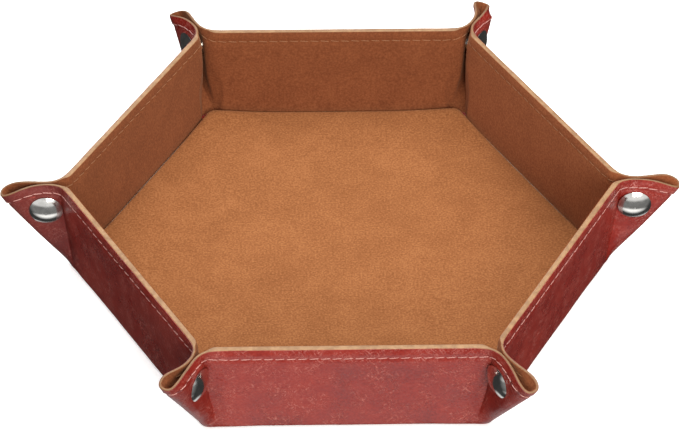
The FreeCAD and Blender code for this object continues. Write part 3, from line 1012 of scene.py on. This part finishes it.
        # The flap narrows downwards, so lower rows reach over more of its columns to be as wide.
        width = np.minimum(6.0, 3.0 / share[rows])[:, None]
        wanted = self.spare_end - width * np.linspace(1.0, 0.0, 12)
        line, facing = (
            np.array([[np.interp(spot, spots, grid[row, :, axis]) for axis in range(3)]
                      for row, spot in zip(rows, wanted)]).transpose(0, 2, 1)
            for grid in (middle, normal))
        way = np.array([math.cos(self.tilt), 0.0, -math.sin(self.tilt)])
        up = np.array([math.sin(self.tilt), 0.0, math.cos(self.tilt)])
        along, above = self.spare_anchor
        anchor = np.array([self.reach, self.sheet.ear_mid, self.rise]) + above * up + along * way
        for name, material, slot, (out, back) in (
                ("leather", palette.leather, Slot.LEATHER, self.spare_leather),
                ("lining", palette.lining(self.wall), Slot.LINING, self.spare_lining)):
            spare = slab(f"ear_spare_{name}_{self.word}", line + facing * out, line + facing * back,
                         material, slot)
            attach(spare, f"ear_{self.word}")
            tuple(self.place(way))
            in_metres(self.place(anchor))
            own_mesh(spare)


@dataclass
class FoldWeb:
    """The sheet along a corner's diagonal: it stands in the ear's fold."""

    ear: Ear
    ply: float = 0.4
    top: float = 0.86
    flat: float = 0.05
    rise: float = math.radians(4.0)
    shares: tuple[float, ...] = (0.0, 0.1, 0.23, 0.39, 0.62, 0.86)
    half_widths: tuple[float, ...] = (2.8, 2.5, 2.2, 2.1, 1.8, 1.35)
    root_s: tuple[float, float] = (97.0, 100.3)
    root_half_widths: tuple[float, float] = (4.2, 3.8)
    root_height: float = 1.35
    hinge_height: float = 0.9

    def build(self, palette: Palette) -> None:
        """Make the web's lining and leather.

        Args:
            palette: the tray's finishes.
        """
        sheet, place = self.ear.sheet, self.ear.place
        _, middle, normal = self.ear.grids()
        share = sheet.levels()
        share = share[share <= self.top]
        half = np.concatenate([self.root_half_widths, np.interp(share, self.shares, self.half_widths)])
        across = place((0.0, 1.0, 0.0)) * (half[:, None] * np.linspace(-1, 1, 5))[..., None]
        # Low down the web keeps away from the flaps, which curve in there.
        clear = 0.1 + 0.9 * np.exp(-((share[:, None] - 0.14) / 0.11) ** 2)
        line, facing = middle[:len(share), -1], normal[:len(share), -1]
        lean = place((-math.sin(self.rise), 0.0, math.cos(self.rise)))
        hinge = place((self.root_s[1], 0.0, self.hinge_height))
        # The web's lining has the suede's darker copy with painted shade.
        for name, material, slot, depth in (
                ("lining", palette.suede_down, Slot.LINING, self.ply + 0.05),
                ("leather", palette.leather, Slot.LEATHER, 0.0)):
            faces = []
            for within in (self.ply, 0.0):
                height = self.root_height - depth / 2 + within / 2
                root = place([[s, 0.0, height] for s in self.root_s])
                run = line - facing * (sheet.half_ply + clear + depth + within)
                faces.append(np.concatenate([root, run])[:, None] + across)
            web = slab(f"fold_web_{name}_{self.ear.corner}", faces[0], faces[1], material, slot)
            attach(web, "base")
            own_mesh(web)


@dataclass
class Wall:
    """One stiffened wall between the seams with its two ears."""

    index: int
    sheet: Sheet = field(default_factory=Sheet)
    columns: int = 61
    backing: float = 0.1
    bow_height: float = 7.0
    bow_start: float = 12.0
    # Size, seed and height of the soft lumps in the leather and in the lining.
    lumps: tuple = ((16.0, 7.7, 0.10), (6.0, 1.3, 0.05))
    lining_lumps: tuple = (12.0, 4.4, 0.08)
    # Distances in and down from the lowest row of the lining's two rows in the crease: face and rear.
    lining_foot: tuple = (((1.6, 1.1), (0.3, 0.7)), ((1.6, 1.6), (0.0, 1.4)))
    # Places (out from the base's edge, up) given for leather and lining at the foot of the wall.
    leather_bend: tuple = ((-2.4, 0.0), (0.0, 2.4))
    lining_bend: tuple = ((-4.2, 0.9), (-2.6, 5.2))

    @property
    def name(self) -> str:
        """Name of the wall."""
        return WALLS[self.index]

    @property
    def out(self) -> np.ndarray:
        """Level unit direction out of the wall."""
        return spoke(-90 + 60 * self.index)

    def place(self, along: np.ndarray | float, out: np.ndarray | float,
              up: np.ndarray | float) -> np.ndarray:
        """Points of the part's frame from places along the wall, out from the tray's axis, and up."""
        along, out, up = np.broadcast_arrays(along, out, up)
        return along[..., None] * np.cross(UP, self.out) + out[..., None] * self.out + up[..., None] * UP

    def middle_grid(self) -> tuple[np.ndarray, np.ndarray, np.ndarray]:
        """The boardless middle surface.

        Returns:
            Places along the wall, points, and the unit normal.
        """
        sheet = self.sheet
        up = sheet.heights()[:, None]
        share = np.linspace(-1, 1, self.columns)
        # Columns stand closer near the ears.
        along = sheet.wall_end(up) * (0.35 * share + 0.65 * np.sin(share * math.pi / 2))
        normal = self.place(0.0, math.cos(sheet.lean), -math.sin(sheet.lean))
        return along, self.place(along, sheet.middle(up), up), normal

    def bend(self, piece: bpy.types.Object, ends: tuple) -> None:
        """Bake a piece's place into its mesh; the two places from the base to the wall are worked out and
        not used.
        """
        start, end = (self.place(0.0, self.sheet.apothem + out, up) for out, up in ends)
        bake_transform(piece)

    def sew(self, word: str, path: np.ndarray, way: np.ndarray, thread: bpy.types.Material) -> None:
        """Sew a row that rides on the wall, on the face that looks the given way."""
        ways = np.broadcast_to(way, path.shape)
        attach(Stitching().sew(f"wall_stitch_{word}_{self.name}", path, ways, thread), f"wall_{self.name}")

    def build(self, palette: Palette) -> None:
        """Make the wall's leather, lining, edge and stitching.

        Args:
            palette: the tray's finishes.
        """
        sheet = self.sheet
        along, middle, normal = self.middle_grid()
        end = np.abs(along[:, -1:])
        left = end + sheet.seam - np.abs(along)
        calm = 1 - smooth(np.abs(along) / end, 0.93, 1.0)
        soft = sum(ripple(middle, size, seed) * height for size, seed, height in self.lumps) * calm
        low = np.clip(1 - (sheet.heights() - sheet.foot) / self.bow_height, 0.0, 1.0)[:, None] ** 2
        bow = sheet.foot_bow * low * smooth(left, sheet.seam, sheet.seam + self.bow_start)
        outer = middle + normal * (sheet.half_ply + sheet.seam_groove() + (soft - bow)[..., None]
                                   - sheet.roll_in(left))
        level = np.broadcast_to(self.out, outer[0].shape)
        foot, foot_under = (sheet.with_foot(outer[0], level, depth) for depth in (0.0, sheet.leather))
        creased = sheet.crackle(np.concatenate([np.repeat(left[:1], len(foot), axis=0), left]))
        leather = slab(f"wall_leather_panel_{self.name}", np.concatenate([foot, outer]),
                       np.concatenate([foot_under, middle - normal * self.backing]), palette.leather,
                       Slot.LEATHER, crease=creased)
        self.bend(leather, self.leather_bend)
        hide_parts(f"wall_leather_{self.name}")
        self.build_lining(palette, left, middle, normal)
        depth = sheet.thick - sheet.half_ply - sheet.rim_lean - sheet.edge_inset
        up = self.place(0.0, math.sin(sheet.lean), math.cos(sheet.lean))
        edge = bead(f"wall_edge_{self.name}", outer[-1] - normal * sheet.edge_inset,
                    middle[-1] - normal * depth, up, sheet.edge_height, palette.edge, np.zeros(self.columns))
        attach(edge, f"wall_{self.name}")
        self.sew("out", outer[sheet.stitch_row()], normal, palette.thread_out)

    def build_lining(self, palette: Palette, left: np.ndarray, middle: np.ndarray,
                     normal: np.ndarray) -> None:
        """Make the lining, which dips into the crease beside the floor and runs under its edge.

        Args:
            palette: the tray's finishes.
            left: distances along the wall to the nearer ear's crease.
            middle: the boardless middle surface.
            normal: the wall's unit normal.
        """
        sheet = self.sheet
        depth = sheet.lining_depth(left)
        size, seed, height = self.lining_lumps
        soft = (ripple(middle, size, seed) * height * smooth(left, 8.0, 11.0))[..., None]
        face = middle - normal * (depth + sheet.seam_groove() * sheet.lining_pull + soft)
        rear = middle - normal * (depth - sheet.lining)
        foot_face, foot_rear = ([rows[0] - self.out * inset - UP * drop for inset, drop in places]
                                for rows, places in zip((face, rear), self.lining_foot))
        lining = slab(f"wall_lining_panel_{self.name}", np.concatenate([foot_face, face]),
                      np.concatenate([foot_rear, rear]), palette.lining(self.name), Slot.LINING)
        self.bend(lining, self.lining_bend)
        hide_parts(f"wall_lining_{self.name}")
        self.sew("in", face[sheet.stitch_row()], -normal, palette.thread_in)


@dataclass
class Base:
    """The floor's suede and the leather under it."""

    floor_apothem: float = 86.65
    floor_round: float = 4.5
    floor_top: float = 2.9
    floor_under: float = 2.3
    corner_lift: float = 1.8
    lift_width: float = 7.0
    tongue_reach: float = 1.8
    tongue_round: float = 1.2
    tongue_nose: float = 0.8
    tongue_heights: tuple[float, float] = (1.3, 1.1)
    tongue_root: float = 0.6
    # Size, seed and height of the soft lumps in the floor.
    lumps: tuple[float, float, float] = (28.0, 2.2, 0.10)
    # Sizes of the field's rings as shares, and each edge ring's distance in and drop.
    field_rings: tuple[float, ...] = (0.04, 0.15, 0.3, 0.45, 0.6, 0.72, 0.82, 0.9, 0.955)
    edge_rings: tuple = ((3.4, 0.0), (1.6, 0.02), (0.9, 0.08), (0.45, 0.22), (0.15, 0.5), (0.0, 1.0),
                         (0.0, 1.5))
    under_apothem: float = 86.0
    under_round: float = 1.5
    under_thick: float = 0.8
    per_side: int = 26

    def outline(self, apothem: float, radius: float, nose: float = 0.0) -> tuple[np.ndarray, np.ndarray]:
        """A hexagon with rounded corners.

        Args:
            apothem: distance from the middle to a side.
            radius: radius of its corners.
            nose: how far a narrow tongue stands out of each corner.

        Returns:
            Points and unit outward directions.
        """
        points, outward = [], []
        reach = (apothem - radius) / COS_30
        for corner in range(6):
            angle = -60 + 60 * corner
            hub, next_hub = reach * spoke(angle), reach * spoke(angle + 60)
            for turn in np.linspace(-30, 30, 9):
                way = spoke(angle + turn)
                points.append(hub * (1 + nose * math.cos(3 * math.radians(turn)) / reach) + radius * way)
                outward.append(way)
            for share in np.linspace(0, 1, self.per_side + 1)[1:-1]:
                points.append(hub + (next_hub - hub) * share + radius * way)
                outward.append(way)
        return np.array(points), np.array(outward)

    @staticmethod
    def plate(name: str, rings: list, material: bpy.types.Material, slot: Slot) -> bpy.types.Object:
        """A closed plate made of rings.

        Args:
            name: the piece's name.
            rings: closed loops and their heights, from the middle of the top, over the edge, to the
                middle of the underside.
            material: its finish.
            slot: the record's slot.

        Returns:
            The new object.
        """
        count = len(rings[0][0])
        loops = [loop * LEVEL + UP * np.asarray(height).reshape(-1, 1) for loop, height in rings]
        faces = tube_faces(len(loops), count)[:-2]
        hub, last = len(loops) * count, (len(loops) - 1) * count
        faces += [(hub, (c + 1) % count, c) for c in range(count)]
        faces += [(hub + 1, last + c, last + (c + 1) % count) for c in range(count)]
        ends = [UP[None] * np.mean(height) for _, height in (rings[0], rings[-1])]
        return new_piece(name, np.concatenate(loops + ends), faces, material, slot)

    def build(self, palette: Palette) -> None:
        """Make the floor and the underside.

        Args:
            palette: the tray's finishes.
        """
        line, way = self.outline(self.floor_apothem, self.floor_round)
        field_line = line - way * self.edge_rings[0][0]
        short = self.floor_apothem / COS_30 - np.linalg.norm(line, axis=1)
        lift = np.exp(-(short / self.lift_width) ** 2) * self.corner_lift
        rings, (size, seed, height) = [], self.lumps
        for share in self.field_rings:
            ring = field_line * share
            rings.append((ring, self.floor_top + ripple(ring, size, seed) * height + lift * share ** 30))
        for inset, drop in self.edge_rings:
            rings.append((line - way * inset, self.floor_top - drop + lift * max(0.0, 1 - drop)))
        tongue, _ = self.outline(self.floor_apothem + self.tongue_reach, self.tongue_round, self.tongue_nose)
        high, low = self.tongue_heights
        rings += [(tongue, high), (tongue, low), (line - way * self.tongue_root, low),
                  (field_line, self.floor_under), (field_line * 0.3, self.floor_under)]
        floor = self.plate("floor_suede", rings, palette.suede, Slot.LINING)
        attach(floor, "base")
        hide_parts("base_lining")
        line, _ = self.outline(self.under_apothem, self.under_round)
        rings = [(line * 0.5, self.under_thick), (line, self.under_thick), (line, 0.0), (line * 0.5, 0.0)]
        under = self.plate("underside_leather", rings, palette.leather, Slot.LEATHER)
        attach(under, "base")
        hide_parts("base_leather")


@dataclass
class Hardware:
    """Solids of the part that stay as they are and only get a finish."""

    metal: str = "snap_"
    boards: tuple[str, ...] = ("base_board", "wall_board_")

    def dress(self, palette: Palette) -> None:
        """Give the snaps and the boards their finishes.

        Args:
            palette: the tray's finishes.
        """
        for starts, material in ((self.metal, palette.nickel), (self.boards, palette.board)):
            for name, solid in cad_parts.items():
                if name.startswith(starts):
                    solid.data.materials.clear()
                    solid.data.materials.append(material)
                    LOG.info("%s: %s", name, material.name)


@dataclass
class Studio:
    """Pale floor, soft light and the camera."""

    focal_px: float = 3202.5
    width_px: float = 679.0
    place: tuple[float, float, float] = (-0.03543, -0.90900, 0.82512)
    right: tuple[float, float, float] = (0.99954, -0.02804, 0.01184)
    upward: tuple[float, float, float] = (0.00968, 0.66134, 0.75003)
    backward: tuple[float, float, float] = (-0.02886, -0.74957, 0.66130)
    gap_glow: float = 0.25
    room_glow: float = 0.05

    def set_camera(self) -> None:
        """A long lens at the photograph's viewing angle."""
        lens = bpy.data.cameras.new("camera")
        lens.sensor_width = 36.0
        lens.lens = self.focal_px / self.width_px * lens.sensor_width
        lens.clip_end = 50.0
        camera = bpy.data.objects.new("camera", lens)
        turn = Matrix([self.right, self.upward, self.backward]).transposed().to_4x4()
        camera.matrix_world = Matrix.Translation(self.place) @ turn
        bpy.context.scene.collection.objects.link(camera)
        bpy.context.scene.camera = camera

    def add_lamp(self, name: str, place: tuple, aim: tuple, size: tuple, power: float, colour: str) -> None:
        """A soft rectangular lamp.

        Args:
            name: the lamp's name.
            place: where it hangs, in metres.
            aim: the point that it faces.
            size: its width and height.
            power: its watts.
            colour: its hex colour.
        """
        data = bpy.data.lights.new(name, "AREA")
        data.shape = "RECTANGLE"
        data.size, data.size_y = size
        data.energy = power
        data.color = linear(colour)[:3]
        lamp = bpy.data.objects.new(name, data)
        lamp.location = place
        lamp.rotation_euler = (Vector(aim) - Vector(place)).to_track_quat("-Z", "Y").to_euler()
        bpy.context.scene.collection.objects.link(lamp)

    def lay_floor(self) -> None:
        """An opal acrylic table lit a little from below, which keeps the shadows faint."""
        bpy.ops.mesh.primitive_plane_add(size=12.0, location=(0, 0, -0.0003))
        floor = bpy.context.object
        floor.name = "studio_floor"
        material, node = fresh_material("opal_acrylic")
        shader = node("BsdfPrincipled", {
            "Base Color": linear("#f6f6f5"), "Roughness": 0.9, "Specular IOR Level": 0.1,
            "Emission Color": linear("#ffffff"), "Emission Strength": 0.4})
        node("OutputMaterial", (shader,))
        floor.data.materials.append(material)
        # The table's light and reflection are kept off the tray, which keeps the walls' contrast.
        floor.visible_glossy = False
        floor.visible_diffuse = False

    def light_room(self) -> None:
        """What the gloss mirrors: softbox above, pale wall and white table ahead, dark room at the sides."""
        world = bpy.data.worlds.new("studio_light")
        bpy.context.scene.world = world
        world.use_nodes = True
        world.node_tree.nodes.clear()
        node = partial(add_node, world.node_tree)
        parts = node("SeparateXYZ", (node("TexCoord").outputs["Generated"],))
        # Each light rises smoothly along an axis: none at the first number, the third's at the second.
        softbox, ahead, lower, upper, fade, behind, steep = (
            node("MapRange", (parts.outputs[axis], dark, bright, 0.0, most), interpolation_type="SMOOTHSTEP")
            for axis, dark, bright, most in (
                ("Z", 0.3, 0.9, 0.8), ("Y", -0.25, -0.62, 1.0), ("Z", -0.62, -0.80, 1.7),
                ("Z", -0.28, -0.05, 0.95), ("Z", 0.6, 0.25, 1.0), ("Y", 0.0, 0.2, 0.9),
                ("Z", -0.80, -0.90, 1.0)))
        band = node("Math", (upper, fade), operation="MULTIPLY")
        either = node("Math", (lower, band), operation="MAXIMUM")
        gap = node("Math", (either, self.gap_glow), operation="MAXIMUM")
        fore = node("Math", (ahead, gap), operation="MULTIPLY")
        aft = node("Math", (behind, steep), operation="MULTIPLY")
        table = node("Math", (fore, aft), operation="MAXIMUM")
        level = node("Math", (softbox, table), operation="MAXIMUM")
        dim = node("Math", (level, self.room_glow), operation="MAXIMUM")
        sky = node("Background", {"Color": linear("#f6f7f8"), "Strength": dim})
        node("OutputWorld", (sky,))

    def build(self) -> None:
        """Set the floor, the light and the camera."""
        self.lay_floor()
        self.light_room()
        self.add_lamp("top_softbox", (0.1, 0.2, 1.3), (0, 0, 0), (1.6, 1.4), 20.5, "#ffffff")
        self.add_lamp("front_softbox", (0.45, -1.5, 0.8), (0, 0, 0.02), (1.0, 0.8), 26.0, "#fffaf4")
        self.add_lamp("back_softbox", (-0.5, 1.5, 0.7), (0, 0, 0.02), (1.0, 0.8), 10.0, "#ffffff")
        bpy.context.scene.view_settings.view_transform = "Standard"
        self.set_camera()


def main() -> None:
    """Build the tray, its finishes and the studio round it."""
    logging.basicConfig(level=logging.INFO, format="%(name)s %(message)s")
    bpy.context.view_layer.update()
    palette = Palette()
    Hardware().dress(palette)
    Base().build(palette)
    for index in range(len(WALLS)):
        Wall(index).build(palette)
    # Handling has bent each ear a little its own way: sideways lean and lift of its tip in millimetres.
    tips = {"front_right": (0.8, 0.3), "right": (0.0, 1.0), "back_right": (3.6, 1.0),
            "back_left": (0.0, -1.3), "left": (0.0, -0.4), "front_left": (-1.4, 3.4)}
    # Painted shade on some ears: how much darker their leather is drawn, with duller gloss.
    handled = {"left": 1.0, "front_left": 0.3, "front_right": 0.3}
    # How far before the crease the wall's sheet starts to turn at the rim, and two flaps that turn later.
    usual_bend, late_bend = 1.9, 0.7
    late = (("left", Side.STUD), ("right", Side.SOCKET))
    for index, corner in enumerate(CORNERS):
        for side in Side:
            rim_bend = late_bend if (corner, side) in late else usual_bend
            ear = Ear(index, side, rim_bend, *tips[corner], handled.get(corner, 0.0))
            ear.build(palette)
        FoldWeb(ear).build(palette)
    Studio().build()


if __name__ == "__main__":
    main()
